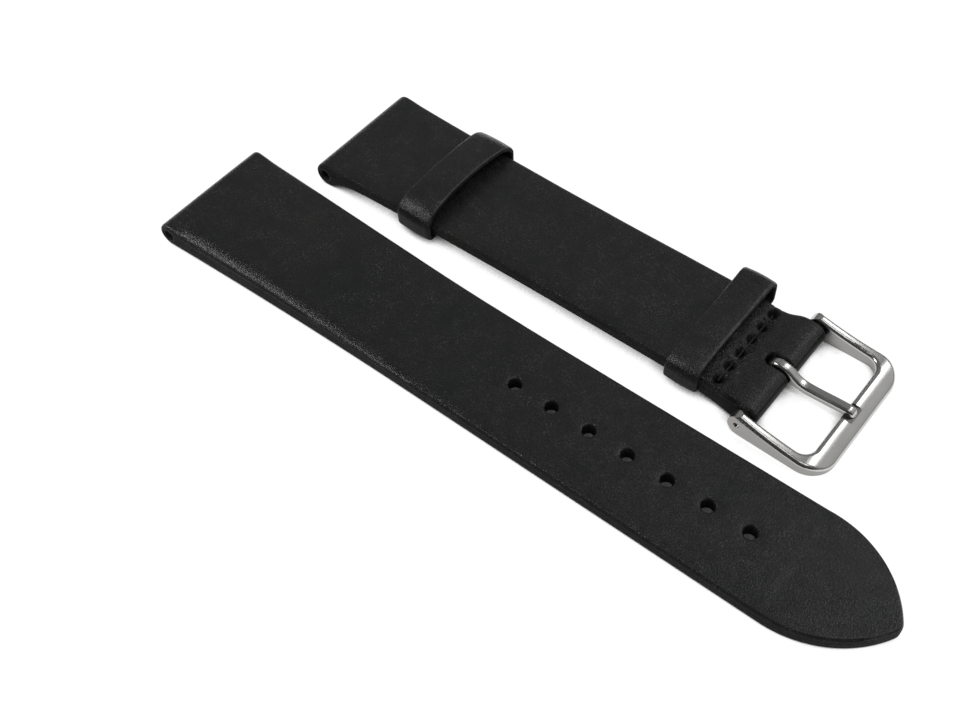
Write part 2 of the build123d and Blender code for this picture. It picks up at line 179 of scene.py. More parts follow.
def tidyMesh(mesh, near=4e-7):
    bm = bmesh.new()
    bm.from_mesh(mesh)
    bmesh.ops.remove_doubles(bm, verts=bm.verts, dist=near)
    bmesh.ops.dissolve_degenerate(bm, edges=bm.edges, dist=near)
    bmesh.ops.recalc_face_normals(bm, faces=bm.faces)
    bm.to_mesh(mesh)
    bm.free()


def prism(bm, outline, low, high, axis):
    # a closed prism over an outline, along z or y, all in mm
    def place(a, b, h):
        return (a * mm, b * mm, h * mm) if axis == "z" else (a * mm, h * mm, b * mm)
    bottom = [bm.verts.new(place(a, b, low)) for a, b in outline]
    lid = [bm.verts.new(place(a, b, high)) for a, b in outline]
    made = [bm.faces.new(bottom), bm.faces.new(lid)]
    for i in range(len(outline)):
        j = (i + 1) % len(outline)
        made.append(bm.faces.new((bottom[i], bottom[j], lid[j], lid[i])))
    for f in made:
        f.material_index = 1
        f.smooth = True


def ring(cx, cy, r, count=40):
    return [(cx + r * math.cos(2 * math.pi * k / count), cy + r * math.sin(2 * math.pi * k / count))
            for k in range(count)]


cuts = {"tunnel": 1.15, "sides": 48, "reach": 12, "low": -1, "high": 6}


def tunnelCut(cx, cz, y):
    # a round cut across the strap, well past both edges
    return ring(cx, cz, cuts["tunnel"], cuts["sides"]), y - cuts["reach"], y + cuts["reach"], "y"


def cutAway(obj, prisms):
    bm = bmesh.new()
    for outline, low, high, axis in prisms:
        prism(bm, outline, low, high, axis)
    bmesh.ops.recalc_face_normals(bm, faces=bm.faces)
    mesh = bpy.data.meshes.new("cutter")
    bm.to_mesh(mesh)
    bm.free()
    cutter = bpy.data.objects.new("cutter", mesh)
    bpy.context.scene.collection.objects.link(cutter)
    mod = obj.modifiers.new("cut", "BOOLEAN")
    mod.operation = "DIFFERENCE"
    mod.solver = "EXACT"
    mod.object = cutter
    bpy.context.view_layer.update()
    shown = obj.evaluated_get(bpy.context.evaluated_depsgraph_get())
    result = bpy.data.meshes.new_from_object(shown)
    obj.modifiers.clear()
    old, obj.data = obj.data, result
    result.name = obj.name
    bpy.data.meshes.remove(old)
    bpy.data.objects.remove(cutter)
    bpy.data.meshes.remove(mesh)


def addPiece(name, mesh, body, replaced, materials, sharp=40):
    obj = bpy.data.objects.new(name, mesh)
    bpy.context.scene.collection.objects.link(obj)
    for material in materials:
        mesh.materials.append(material)
    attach(obj, body)
    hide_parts(*replaced)
    obj["sharpAngle"] = sharp
    return obj


def smooth(obj):
    obj.data.polygons.foreach_set("use_smooth", [True] * len(obj.data.polygons))
    obj.data.set_sharp_from_angle(angle=math.radians(obj["sharpAngle"]))
    del obj["sharpAngle"]


def sweep(path, radius, twist, lobes, depth=0.11, sides=18):
    # a twisted thread along a path of points in mm; returns its verts and faces
    verts, faces = [], []
    count = len(path)
    for i, p in enumerate(path):
        ahead = Vector(path[min(i + 1, count - 1)]) - Vector(path[max(i - 1, 0)])
        ahead.normalize()
        across = Vector((1, 0, 0))
        up = ahead.cross(across).normalized()
        for k in range(sides):
            a = 2 * math.pi * k / sides
            r = radius * (1 - depth + depth * math.cos(lobes * (a + twist * i)))
            v = Vector(p) + across * r * math.cos(a) + up * r * math.sin(a)
            verts.append(v * mm)
    for i in range(count - 1):
        for k in range(sides):
            j = (k + 1) % sides
            faces.append((i * sides + k, i * sides + j, (i + 1) * sides + j, (i + 1) * sides + k))
    faces.append(tuple(range(sides)))
    faces.append(tuple((count - 1) * sides + k for k in range(sides)))
    return verts, faces


# node groups and materials

def newGroup(name, inputs, outputs):
    group = bpy.data.node_groups.new(name, "ShaderNodeTree")
    for label, kind, value in inputs:
        socket = group.interface.new_socket(label, in_out="INPUT", socket_type=kind)
        if value is not None:
            socket.default_value = value
    for label, kind in outputs:
        group.interface.new_socket(label, in_out="OUTPUT", socket_type=kind)
    start = group.nodes.new("NodeGroupInput")
    end = group.nodes.new("NodeGroupOutput")
    return group, start, end


class Wires:
    # short hands for adding and joining nodes in one tree
    def __init__(self, tree):
        self.tree = tree

    def node(self, kind, **values):
        made = self.tree.nodes.new(kind)
        for key, value in values.items():
            if key.startswith("at_"):
                made.inputs[int(key[3:])].default_value = value
            else:
                setattr(made, key, value)
        return made

    def texture(self, kind, place, **values):
        made = self.node("ShaderNodeTex" + kind, **values)
        self.link(place, made.inputs["Vector"])
        return made

    def link(self, a, b):
        self.tree.links.new(a, b)
        return b

    def math(self, what, a, b=None, clamp=False):
        made = self.node("ShaderNodeMath", operation=what, use_clamp=clamp)
        for i, value in enumerate((a, b)):
            if value is None:
                continue
            if isinstance(value, (int, float)):
                made.inputs[i].default_value = value
            else:
                self.link(value, made.inputs[i])
        return made.outputs[0]

    def span(self, value, fromLow, fromHigh, toLow=0.0, toHigh=1.0):
        made = self.node("ShaderNodeMapRange", clamp=True)
        self.link(value, made.inputs["Value"])
        for label, number in (("From Min", fromLow), ("From Max", fromHigh),
                              ("To Min", toLow), ("To Max", toHigh)):
            made.inputs[label].default_value = number
        return made.outputs["Result"]

    def mixColour(self, factor, a, b, how="MIX"):
        made = self.node("ShaderNodeMix", data_type="RGBA", blend_type=how)
        for i, value in ((0, factor), (6, a), (7, b)):
            if isinstance(value, (int, float)):
                made.inputs[i].default_value = value
            elif isinstance(value, (tuple, list)):
                made.inputs[i].default_value = (*value, 1.0) if len(value) == 3 else value
            else:
                self.link(value, made.inputs[i])
        return made.outputs[2]


def makeGrainGroup():
    group, start, end = newGroup(
        "leatherGrain",
        [("Vector", "NodeSocketVector", None), ("Cell Size", "NodeSocketFloat", 0.4),
         ("Crease", "NodeSocketFloat", 0.5), ("Crumple", "NodeSocketFloat", 0.0)],
        [("Height", "NodeSocketFloat"), ("Pits", "NodeSocketFloat"), ("Cloud", "NodeSocketFloat")])
    w = Wires(group)
    perMetre = w.math("DIVIDE", 1000.0, start.outputs["Cell Size"])
    warp = w.texture("Noise", start.outputs["Vector"], at_2=900.0, at_3=2.0)
    shift = w.node("ShaderNodeVectorMath", operation="MULTIPLY_ADD")
    w.link(warp.outputs["Color"], shift.inputs[0])
    shift.inputs[1].default_value = (0.00022, 0.00022, 0.00022)
    w.link(start.outputs["Vector"], shift.inputs[2])
    cells = w.texture("Voronoi", shift.outputs[0], feature="DISTANCE_TO_EDGE")
    w.link(perMetre, cells.inputs["Scale"])
    pebble = w.span(cells.outputs["Distance"], 0.0, 0.22)
    small = w.texture("Voronoi", shift.outputs[0], feature="SMOOTH_F1")
    w.link(w.math("MULTIPLY", perMetre, 2.3), small.inputs["Scale"])
    fine = w.texture("Noise", start.outputs["Vector"], at_2=5200.0, at_3=4.0)
    crease = w.texture("Noise", start.outputs["Vector"], at_2=620.0, at_3=5.0, at_4=0.62)
    folded = w.math("ABSOLUTE", w.math("SUBTRACT", crease.outputs["Fac"], 0.5))
    creased = w.math("MULTIPLY", w.span(folded, 0.0, 0.045), start.outputs["Crease"])
    total = w.math("ADD", w.math("MULTIPLY", pebble, 0.55),
                   w.math("MULTIPLY", small.outputs["Distance"], -0.35))
    total = w.math("ADD", total, w.math("MULTIPLY", fine.outputs["Fac"], 1.1))
    total = w.math("ADD", total, creased)
    crumple = w.texture("Noise", start.outputs["Vector"], at_2=3600.0, at_3=2.0, at_4=0.6)
    ridge = w.math("ABSOLUTE", w.math("SUBTRACT", crumple.outputs["Fac"], 0.5))
    total = w.math("ADD", total, w.math("MULTIPLY", w.math("MULTIPLY", ridge, 9.0),
                                        start.outputs["Crumple"]))
    w.link(total, end.inputs["Height"])
    w.link(w.span(cells.outputs["Distance"], 0.09, 0.0), end.inputs["Pits"])
    cloud = w.texture("Noise", start.outputs["Vector"], at_2=110.0, at_3=3.0)
    w.link(cloud.outputs["Fac"], end.inputs["Cloud"])
    return group


def makeSpeckGroup():
    group, start, end = newGroup(
        "fineSpecks", [("Vector", "NodeSocketVector", None), ("Amount", "NodeSocketFloat", 0.3)],
        [("Mask", "NodeSocketFloat")])
    w = Wires(group)
    tiny = w.texture("Noise", start.outputs["Vector"], at_2=5600.0, at_3=1.0)
    patch = w.texture("Noise", start.outputs["Vector"], at_2=420.0, at_3=2.0)
    dots = w.span(tiny.outputs["Fac"], 0.57, 0.70)
    mask = w.math("MULTIPLY", dots, w.span(patch.outputs["Fac"], 0.35, 0.7))
    w.link(w.math("MULTIPLY", mask, start.outputs["Amount"], clamp=True), end.inputs["Mask"])
    return group


# lighter near the edges, broken by noise: partly wear, partly a painted highlight
def makeWearHighlightGroup():
    group, start, end = newGroup(
        "edgeWearAndHighlight", [("Vector", "NodeSocketVector", None), ("Edge", "NodeSocketFloat", 0.0),
                     ("Amount", "NodeSocketFloat", 0.5)],
        [("Mask", "NodeSocketFloat")])
    w = Wires(group)
    patch = w.texture("Noise", start.outputs["Vector"], at_2=900.0, at_3=4.0)
    broken = w.span(patch.outputs["Fac"], 0.35, 0.65)
    near = w.span(start.outputs["Edge"], 0.45, 0.95)
    w.link(w.math("MULTIPLY", w.math("MULTIPLY", near, broken), start.outputs["Amount"], clamp=True),
           end.inputs["Mask"])
    return group


def makeScratchGroup():
    group, start, end = newGroup(
        "fineScratches", [("Vector", "NodeSocketVector", None), ("Length", "NodeSocketFloat", 12.0)],
        [("Height", "NodeSocketFloat"), ("Haze", "NodeSocketFloat")])
    w = Wires(group)
    total = None
    for turn in (0.35, 1.5, 2.4):
        mapped = w.node("ShaderNodeMapping")
        mapped.inputs["Rotation"].default_value = (0.3 * turn, 0.2, turn)
        w.link(start.outputs["Vector"], mapped.inputs["Vector"])
        stretched = w.node("ShaderNodeVectorMath", operation="MULTIPLY")
        w.link(mapped.outputs[0], stretched.inputs[0])
        stretched.inputs[1].default_value = (1400.0, 16000.0, 9000.0)
        line = w.texture("Noise", stretched.outputs[0], at_2=1.0, at_3=2.0)
        part = w.span(line.outputs["Fac"], 0.62, 0.75)
        total = part if total is None else w.math("ADD", total, part)
    w.link(total, end.inputs["Height"])
    haze = w.texture("Noise", start.outputs["Vector"], at_2=260.0, at_3=4.0)
    w.link(w.math("MULTIPLY", w.span(haze.outputs["Fac"], 0.35, 0.75),
                  w.span(start.outputs["Length"], 0.0, 24.0)), end.inputs["Haze"])
    return group


def makeWeaveGroup():
    group, start, end = newGroup(
        "tapeWeave", [("Vector", "NodeSocketVector", None), ("Yarn", "NodeSocketFloat", 0.25)],
        [("Height", "NodeSocketFloat"), ("Gap", "NodeSocketFloat")])
    w = Wires(group)
    scaled = w.node("ShaderNodeVectorMath", operation="SCALE")
    w.link(start.outputs["Vector"], scaled.inputs[0])
    w.link(w.math("DIVIDE", 3141.6, start.outputs["Yarn"]), scaled.inputs["Scale"])
    parts = w.node("ShaderNodeSeparateXYZ")
    w.link(scaled.outputs[0], parts.inputs[0])
    along = w.math("ABSOLUTE", w.math("SINE", w.math("ADD", parts.outputs[0], parts.outputs[2])))
    across = w.math("ABSOLUTE", w.math("SINE", parts.outputs[1]))
    w.link(w.math("MAXIMUM", along, across), end.inputs["Height"])
    w.link(w.span(w.math("MULTIPLY", along, across), 0.25, 0.0), end.inputs["Gap"])
    return group


grainGroup = makeGrainGroup()
speckGroup = makeSpeckGroup()
wearHighlightGroup = makeWearHighlightGroup()
scratchGroup = makeScratchGroup()
weaveGroup = makeWeaveGroup()


def startMaterial(name, colour):
    material = bpy.data.materials.new(name)
    material.use_nodes = True
    material.diffuse_color = (*colour, 1.0)
    w = Wires(material.node_tree)
    shader = material.node_tree.nodes["Principled BSDF"]
    place = w.node("ShaderNodeTexCoord").outputs["Object"]
    return material, w, shader, place


def useGroup(w, group, place, **values):
    made = w.node("ShaderNodeGroup", node_tree=group)
    w.link(place, made.inputs["Vector"])
    for label, value in values.items():
        made.inputs[label.replace("_", " ")].default_value = value
    return made


def addBump(w, shader, height, strength, depth):
    bump = w.node("ShaderNodeBump")
    bump.inputs["Strength"].default_value = strength
    bump.inputs["Distance"].default_value = depth * mm
    w.link(height, bump.inputs["Height"])
    w.link(bump.outputs[0], shader.inputs["Normal"])


def leatherMaterial(name, look):
    material, w, shader, place = startMaterial(name, look["colour"])
    grain = useGroup(w, grainGroup, place, Cell_Size=look["cell"], Crease=look["crease"])
    specks = useGroup(w, speckGroup, place, Amount=look["specks"])
    wearHighlight = useGroup(w, wearHighlightGroup, place, Amount=look["wearHighlight"])
    mark = w.node("ShaderNodeAttribute", attribute_name="wearAndHighlight")
    w.link(mark.outputs["Fac"], wearHighlight.inputs["Edge"])
    creased = w.node("ShaderNodeAttribute", attribute_name="creased").outputs["Fac"]
    w.link(w.math("MULTIPLY", creased, look["crumple"]), grain.inputs["Crumple"])
    # more light specks where the crease mark is high: painted glints on bent leather
    w.link(w.math("ADD", w.math("MULTIPLY", creased, look["crumple"] * look["creasedPaintedGlints"]),
                  look["specks"]), specks.inputs["Amount"])
    colour = w.mixColour(w.span(grain.outputs["Cloud"], 0.3, 0.7), look["colour"], look["warm"])
    colour = w.mixColour(grain.outputs["Pits"], colour, look["pit"])
    # light specks: grain flecks and painted glints
    colour = w.mixColour(specks.outputs["Mask"], colour, look["speck"])
    # lighter near the edges: wear and a painted highlight
    colour = w.mixColour(wearHighlight.outputs["Mask"], colour, look["rubbedAndHighlit"])
    # painted shade: where the crease mark is below zero the colour goes dark
    colour = w.mixColour(w.span(creased, 0.0, -0.6), colour, look["pit"])  # below 0 the mark paints shade with the dark pit colour
    w.link(colour, shader.inputs["Base Color"])
    rough = w.span(grain.outputs["Cloud"], 0.25, 0.75, *look["rough"])
    rough = w.math("ADD", rough, w.math("MULTIPLY", grain.outputs["Pits"], look["pitRough"]))
    rough = w.math("SUBTRACT", rough, w.math("MULTIPLY", wearHighlight.outputs["Mask"], look["wearShine"]),
                   clamp=True)
    w.link(rough, shader.inputs["Roughness"])
    addBump(w, shader, grain.outputs["Height"], look["bump"], look["depth"])
    shader.inputs["Specular IOR Level"].default_value = look["specular"]
    return material


# cover leather: its light speck colour serves grain flecks and painted glints, and its rubbed colour
# serves wear and a painted highlight
coverLook = {"colour": (0.0072, 0.0084, 0.0079), "warm": (0.0092, 0.0096, 0.0088),
             "pit": (0.004, 0.004, 0.004), "speck": (0.060, 0.062, 0.058),
             "rubbedAndHighlit": (0.026, 0.026, 0.024), "cell": 0.32, "crease": 0.35, "specks": 0.7,
             "wearHighlight": 0.1, "rough": (0.20, 0.26), "bump": 1.0, "depth": 0.024, "specular": 0.5,
             "crumple": 1.1, "creasedPaintedGlints": 1.3, "pitRough": 0.1, "wearShine": 0.08}
# keepers: a strong lighter band on the front top rim, rubbed leather and a painted highlight line
keeperLook = dict(coverLook, rubbedAndHighlit=(0.050, 0.050, 0.047), wearHighlight=0.8)
sideLook = dict(coverLook, specular=0.08, rough=(0.42, 0.5), crumple=0.4)
edgeLook = dict(coverLook, colour=(0.0048, 0.0050, 0.0050), warm=(0.0068, 0.0066, 0.0063),
                cell=0.7, crease=0.7, specks=0.2, wearHighlight=0.1, rough=(0.5, 0.62), depth=0.03,
                specular=0.04, crumple=0.2)
# cut faces in holes, tunnels and the slot: raw leather, coloured darker than the cover as painted shade in
# these openings
rawShadedLook = dict(coverLook, colour=(0.006, 0.005, 0.0045), warm=(0.010, 0.008, 0.007),
               pit=(0.004, 0.003, 0.003), cell=0.16, crease=0.2, specks=0.8, wearHighlight=0.0,
               rough=(0.75, 0.9), depth=0.04, specular=0.1)
liningLook = dict(coverLook, colour=(0.013, 0.0128, 0.0122), warm=(0.017, 0.0165, 0.015),
                  cell=0.5, crease=0.6, specks=0.4, wearHighlight=0.3, rough=(0.52, 0.64), depth=0.03,
                  specular=0.1)

coverLeather = leatherMaterial("coverLeather", coverLook)
keeperLeather = leatherMaterial("keeperLeather", keeperLook)
sideLeather = leatherMaterial("sideLeather", sideLook)
paintedEdge = leatherMaterial("paintedEdge", edgeLook)
rawShadedEdge = leatherMaterial("rawShadedEdge", rawShadedLook)
liningLeather = leatherMaterial("liningLeather", liningLook)

steelLook = {"colour": (0.60, 0.595, 0.585), "dull": (0.53, 0.523, 0.51), "side": (0.30, 0.295, 0.285),
             "speck": (0.35, 0.34, 0.33), "specks": 0.05, "rough": (0.21, 0.28), "scratch": 0.05,
             "depth": 0.002, "length": 18.0, "shadedUpright": (0.02, 0.22), "markRough": 0.04}
barLook = dict(steelLook, colour=(0.46, 0.45, 0.43), dull=(0.36, 0.35, 0.33), side=(0.40, 0.39, 0.37),
               rough=(0.24, 0.38), scratch=0.35)


def steelMaterial(name, look):
    material, w, shader, place = startMaterial(name, look["colour"])
    marks = useGroup(w, scratchGroup, place, Length=look["length"])
    specks = useGroup(w, speckGroup, place, Amount=look["specks"])
    colour = w.mixColour(marks.outputs["Haze"], look["colour"], look["dull"])
    colour = w.mixColour(specks.outputs["Mask"], colour, look["speck"])
    # painted shade: the steep sides get a darker colour than the top
    parts = w.node("ShaderNodeSeparateXYZ")
    w.link(w.node("ShaderNodeTexCoord").outputs["Normal"], parts.inputs[0])
    colour = w.mixColour(w.span(parts.outputs[2], *look["shadedUpright"]), look["side"], colour)
    w.link(colour, shader.inputs["Base Color"])
    shader.inputs["Metallic"].default_value = 1.0
    rough = w.span(marks.outputs["Haze"], 0.0, 1.0, *look["rough"])
    rough = w.math("ADD", rough, w.math("MULTIPLY", marks.outputs["Height"], look["markRough"]),
                   clamp=True)
    w.link(rough, shader.inputs["Roughness"])
    addBump(w, shader, marks.outputs["Height"], look["scratch"], look["depth"])
    return material


polishedSteel = steelMaterial("polishedSteel", steelLook)
barSteel = steelMaterial("barSteel", barLook)

tapeLook = {"colour": (0.010, 0.0098, 0.0095), "gap": (0.004, 0.004, 0.004), "yarn": 0.3,
            "lint": (0.05, 0.05, 0.05), "specks": 0.5, "rough": (0.95, 0.72), "bump": 0.8, "depth": 0.05}
threadLook = {"colour": (0.006, 0.006, 0.006), "lint": (0.03, 0.03, 0.029), "specks": 0.8,
              "rough": (0.5, 0.75), "bump": 0.6, "depth": 0.02}


def tapeMaterial(name, look):
    material, w, shader, place = startMaterial(name, look["colour"])
    weave = useGroup(w, weaveGroup, place, Yarn=look["yarn"])
    specks = useGroup(w, speckGroup, place, Amount=look["specks"])
    colour = w.mixColour(weave.outputs["Gap"], look["colour"], look["gap"])
    colour = w.mixColour(specks.outputs["Mask"], colour, look["lint"])
    w.link(colour, shader.inputs["Base Color"])
    w.link(w.span(weave.outputs["Height"], 0.0, 1.0, *look["rough"]), shader.inputs["Roughness"])
    addBump(w, shader, weave.outputs["Height"], look["bump"], look["depth"])
    return material


def threadMaterial(name, look):
    material, w, shader, place = startMaterial(name, look["colour"])
    specks = useGroup(w, speckGroup, place, Amount=look["specks"])
    fibres = w.texture("Noise", place, at_2=9000.0, at_3=3.0)
    w.link(w.mixColour(specks.outputs["Mask"], look["colour"], look["lint"]),
           shader.inputs["Base Color"])
    w.link(w.span(fibres.outputs["Fac"], 0.3, 0.7, *look["rough"]), shader.inputs["Roughness"])
    addBump(w, shader, fibres.outputs["Fac"], look["bump"], look["depth"])
    return material


wovenTape = tapeMaterial("wovenTape", tapeLook)
waxedThread = threadMaterial("waxedThread", threadLook)
print("materials ready")


# tail half

tail = {
    "length": 116.5, "half": 8.8, "lugHalf": 10.0, "taperEnd": 50.0, "roll": 1.85,
    "thick": 3.7, "thin": 2.2, "swellStart": 8.0, "swellEnd": 62.0, "flapEnd": 11.0,
    "lining": 0.75, "tipStart": 102.7, "tipRound": 1.6, "firstHole": 59.4, "holePitch": 6.1,
    "holes": 7, "holeRadius": 0.95, "holeRim": 0.26, "holeDish": 0.09, "dishWidth": 0.7,
    "crown": 0.12, "cushion": 0.8, "thinCushion": 0.2, "cushionReach": 2.7, "farShare": 0.3,
    "cushionPower": 2.6, "cushionBefore": 0.6, "cushionRise": 4.5, "tipBefore": 6, "tipFall": 13,
    "shoulder": 0.55, "thinShoulder": 0.5, "wave": 0.035, "waveSize": 7.0, "ripple": 0.012,
    "rippleSize": 1.6, "polishedTo": 48, "tipCrease": 96, "tipCreaseRise": 8, "edgeCrease": 0.3,
    "edgeCreaseOut": 7.6, "edgeCreaseTo": 60, "step": 0.4, "longStep": 0.42, "holeStep": 0.18,
    "holeZone": 1.8, "holeReach": 3.5, "pucker": 0.5, "underRound": 0.4, "crease": 0.05,
    "farCrease": 0.4, "tipCrown": 0.6,
}


def taperHalf(x, half, lugHalf, taperEnd):
    # the half width of the taper, an arc that ends level
    r = (taperEnd ** 2 + (lugHalf - half) ** 2) / (2 * (lugHalf - half))
    if x >= taperEnd:
        return half
    return half + r - math.sqrt(r * r - (taperEnd - x) ** 2)


def rolledPoint(x, z, drop, way, centres, radius):
    # moves a profile point inwards by drop, towards the middle of the roll where there is one
    for cx, side in centres:
        if (x - cx) * side > 0:
            share = (radius - drop) / radius
            return cx + (x - cx) * share, radius + (z - radius) * share
    return x, z - drop * way


def rollHeight(x, cx, radius):
    return math.sqrt(max(radius * radius - (x - cx) ** 2, 0.0))


def tailTop(x):
    t = tail
    if x < t["roll"]:
        return t["roll"] + rollHeight(x, t["roll"], t["roll"])
    swell = sCurve((x - t["swellStart"]) / (t["swellEnd"] - t["swellStart"]))
    return t["thick"] - (t["thick"] - t["thin"]) * swell


def tailUnder(x):
    t = tail
    if x < t["roll"]:
        return t["roll"] - rollHeight(x, t["roll"], t["roll"])
    return 0.0 if x <= t["flapEnd"] else t["lining"] + 0.02


def tailHoles():
    return [tail["firstHole"] + i * tail["holePitch"] for i in range(tail["holes"])]


def tailSink(x, y, d):
    t = tail
    half = taperHalf(x, t["half"], t["lugHalf"], t["taperEnd"])
    drop = t["crown"] * (abs(y) / half) ** 4 if x < t["tipStart"] else t["crown"] * t["tipCrown"]
    swell = 1 - sCurve((x - t["swellStart"]) / (t["swellEnd"] - t["swellStart"]))
    cushion = t["thinCushion"] + (t["cushion"] - t["thinCushion"]) * swell
    cushion *= sCurve((x - t["roll"] + t["cushionBefore"]) / t["cushionRise"])
    cushion *= 1.0 if y < 0 else t["farShare"]
    cushion *= 1 - sCurve((x - t["tipStart"] + t["tipBefore"]) / t["tipFall"])
    drop += cushion * max(0.0, 1 - d / t["cushionReach"]) ** t["cushionPower"]
    drop += uneven(x, y, t["wave"], t["waveSize"]) + uneven(x, y, t["ripple"], t["rippleSize"], 4.0)
    for hx in tailHoles():
        r = math.hypot(x - hx, y)
        if r < t["holeReach"]:
            out = max(r - t["holeRadius"], 0.0)
            angle = math.atan2(y, x - hx)
            turn = Vector((math.cos(angle) * 3, math.sin(angle) * 3, hx))
            pucker = 1 + t["pucker"] * noise.noise(turn)
            drop += t["holeDish"] * pucker * bell(out, t["dishWidth"])
            drop += edgeDrop(out, t["holeRim"])
    return drop


def tipRibs(x0, half, length, tipRound, flankSteps=44, noseSteps=12):
    reach = length - tipRound - x0
    radius = (reach ** 2 + half ** 2 - tipRound ** 2) / (2 * (half - tipRound))
    turn = math.asin((radius - half) / (radius - tipRound))
    ribs = []
    total = flankSteps + noseSteps
    for i in range(1, total + 1):
        if i <= flankSteps:
            a = math.pi / 2 + (turn - math.pi / 2) * i / flankSteps
            x, y = x0 + radius * math.cos(a), half - radius + radius * math.sin(a)
        else:
            a = turn * (1 - (i - flankSteps) / noseSteps)
            x, y = length - tipRound + tipRound * math.cos(a), tipRound * math.sin(a)
        share = i / total
        ribs.append((x, y, -math.cos(a), -math.sin(a), x0 + reach * share ** 0.9))
    return ribs


def spaced(start, end, step):
    count = max(1, round((end - start) / step))
    return [start + (end - start) * i / count for i in range(count)]


def tailRibs(start):
    t = tail
    xs = []
    if start == 0:
        xs += [t["roll"] * (1 - math.cos(k * math.pi / 20)) for k in range(10)]
        xs += spaced(t["roll"], t["flapEnd"] - 0.01, t["step"])
        xs += [t["flapEnd"] - 0.01]
    zone, step = t["holeZone"], t["step"]
    xs += spaced(max(start, t["flapEnd"] + 0.01), t["firstHole"] - zone, t["longStep"])
    for hx in tailHoles():
        xs += spaced(hx - zone, hx + zone, t["holeStep"])
        xs += spaced(hx + zone, hx + t["holePitch"] - zone, step)
    xs = [x for x in xs if x < t["tipStart"] - 0.1]
    xs += spaced(xs[-1] + step, t["tipStart"], step)[:-1] + [t["tipStart"]]
    ribs = [(x, taperHalf(x, t["half"], t["lugHalf"], t["taperEnd"]), 0.0, -1.0, x) for x in xs]
    return ribs + tipRibs(t["tipStart"], t["half"], t["length"], t["tipRound"])


def tailShoulder(x):
    swell = sCurve((x - tail["swellStart"]) / (tail["swellEnd"] - tail["swellStart"]))
    return tail["shoulder"] + (tail["thinShoulder"] - tail["shoulder"]) * swell


def rollFade(x, start, end, roll):
    # 0 at the very front of a roll, 1 where it has become the flat strap
    return min(1.0, max(0.0, (x - start) / roll), max(0.0, (end - x) / roll))


def tailUnderRound(x):
    if x > tail["flapEnd"]:
        return 0.0
    fade = rollFade(x, 0.0, farAway, tail["roll"])
    return tailShoulder(x) + (tail["underRound"] - tailShoulder(x)) * fade


def tailCreased(x, y):
    # finely creased towards the far side of the tip, and along the near edge where it is thick; the crease
    # mark also paints glints there
    t = tail
    tip = max(0.0, min(1.0, (x - t["tipCrease"]) / t["tipCreaseRise"]))
    edge = t["edgeCrease"] if y < -t["edgeCreaseOut"] and x < t["edgeCreaseTo"] else 0.0
    return tip * (t["crease"] + t["farCrease"] * max(0.0, y / t["half"])) + edge


tailShape = {
    "name": "tailCoverLeather", "x": tailX, "y": tailY, "polished": tailX + tail["polishedTo"],
    "top": tailTop, "under": tailUnder,
    "roundTop": tailShoulder, "roundUnder": tailUnderRound,
    "fade": lambda x: rollFade(x, 0.0, farAway, tail["roll"]),
    "creased": tailCreased, "sink": tailSink, "wallRows": 4, "wallBulge": 0.02, "flatEnds": (),
    "onProfile": lambda x, z, drop, way: rolledPoint(
        x, z, drop, way, [(tail["roll"], -1)], tail["roll"]),
}
tailCover = addPiece("tailCoverLeather", strapMesh(tailShape, tailRibs(0), strapGrid["fineMiddle"]),
                     "tail", ["tail_cover", "tail_filler"],
                     [coverLeather, rawShadedEdge, paintedEdge, sideLeather])
tailCuts = [(ring(tailX + hx, tailY, tail["holeRadius"], cuts["sides"]), cuts["low"], cuts["high"], "z")
            for hx in tailHoles()]
cutAway(tailCover, tailCuts + [tunnelCut(tailX + tail["roll"], tail["roll"], tailY)])
smooth(tailCover)

tailLiningShape = dict(
    tailShape, name="tailLiningLeather", top=lambda x: tail["lining"], under=lambda x: 0.0,
    roundTop=lambda x: 0.04, roundUnder=lambda x: 0.4, flatEnds=(0,), wallRows=1,
    sink=lambda x, y, d: 0.0,
    onProfile=lambda x, z, drop, way: (x, z - drop * way))
tailLining = addPiece("tailLiningLeather",
                      strapMesh(tailLiningShape, tailRibs(tail["flapEnd"] + 0.02),
                                strapGrid["coarseMiddle"]),
                      "tail", ["tail_lining"],
                      [liningLeather, rawShadedEdge, paintedEdge, liningLeather])
cutAway(tailLining, tailCuts)
smooth(tailLining)
print("tail half ready")


# buckle half

short = {
    "length": 77.95, "bar": 76.1, "half": 8.8, "lugHalf": 10.0, "taperEnd": 50.0, "roll": 1.85,
    "thick": 3.7, "thin": 2.0, "neckStart": 2.6, "neckEnd": 4.9, "flapEnd": 9.5, "buckleFlap": 69.0,
    "lining": 0.75, "flapUnder": 1.0, "waist": 71.2, "waistHalf": 8.35,
    "waistStart": 66.025, "tabStart": 75.175, "tabHalf": 9.2, "nearTab": 0.2, "stitchX": 70.7,
    "stitches": 5, "stitchPitch": 2.75, "slotHalf": 1.05, "slotEnd": 73.8, "slotRim": 0.3, "slotOpen": 80,
    "crown": 0.1, "cushion": 0.18, "shoulder": 0.6, "wave": 0.03, "waveSize": 6.0,
    "groove": 0.14, "grooveWidth": 0.5, "dimple": 1.5, "dimpleWidth": 0.5,
    "crinkle": 0.22, "crinkleReach": 1.8, "valley": 0.34, "valleyWidth": 1.0, "valleyPast": 0.2,
    "rowHalf": 6.9, "paintedShadeX": 73.8, "paintedShadeWidth": 1.1, "cushionRise": 4, "cushionFall": 3,
    "cushionReach": 2.2, "ripple": 0.012, "rippleSize": 1.5, "neckRise": 0.7, "flapPower": 1.15,
    "liningTop": 2.45, "liningUnder": 1.7, "underRound": 0.3, "step": 0.3, "longStep": 0.45,
    "longTo": 65.0, "rowStep": 0.16, "rowTo": 73.2, "rollStep": 0.25,
}


